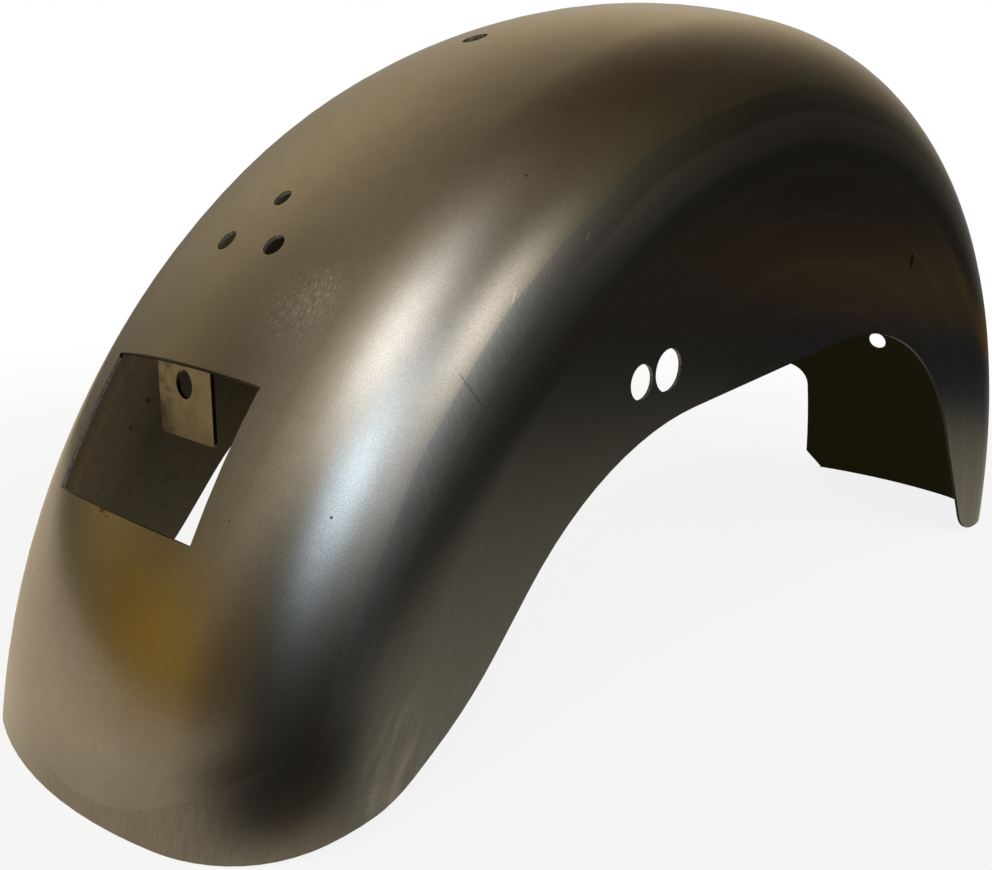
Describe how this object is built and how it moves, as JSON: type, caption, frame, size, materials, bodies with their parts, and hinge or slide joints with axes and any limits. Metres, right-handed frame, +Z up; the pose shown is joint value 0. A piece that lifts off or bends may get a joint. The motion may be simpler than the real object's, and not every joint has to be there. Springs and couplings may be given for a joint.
{
  "type": "motorcycle rear fender",
  "caption": "Wide raw steel rear fender for a motorcycle, with deep arched sides, a rectangular tail opening with a welded tab, and drilled mounting holes.",
  "frame": {"origin": "on the floor under the middle of the bounding box; the fender stands on its tail rim and on the lower edge of its front apron", "axes": "+X to the front of the motorcycle along the fender, +Y to its left across the fender, +Z up"},
  "size_m": [0.6784, 0.216, 0.2977],
  "materials": {
    "raw_sheet_steel": "bare cold-rolled sheet, fine brushed grain with polish marks, unpainted",
    "tab_steel": "bare mild steel plate with a light brown stain, unpainted"
  },
  "bodies": {
    "root": {"fender_shell": "raw_sheet_steel", "tail_tab": "tab_steel"}
  },
  "joints": []
}
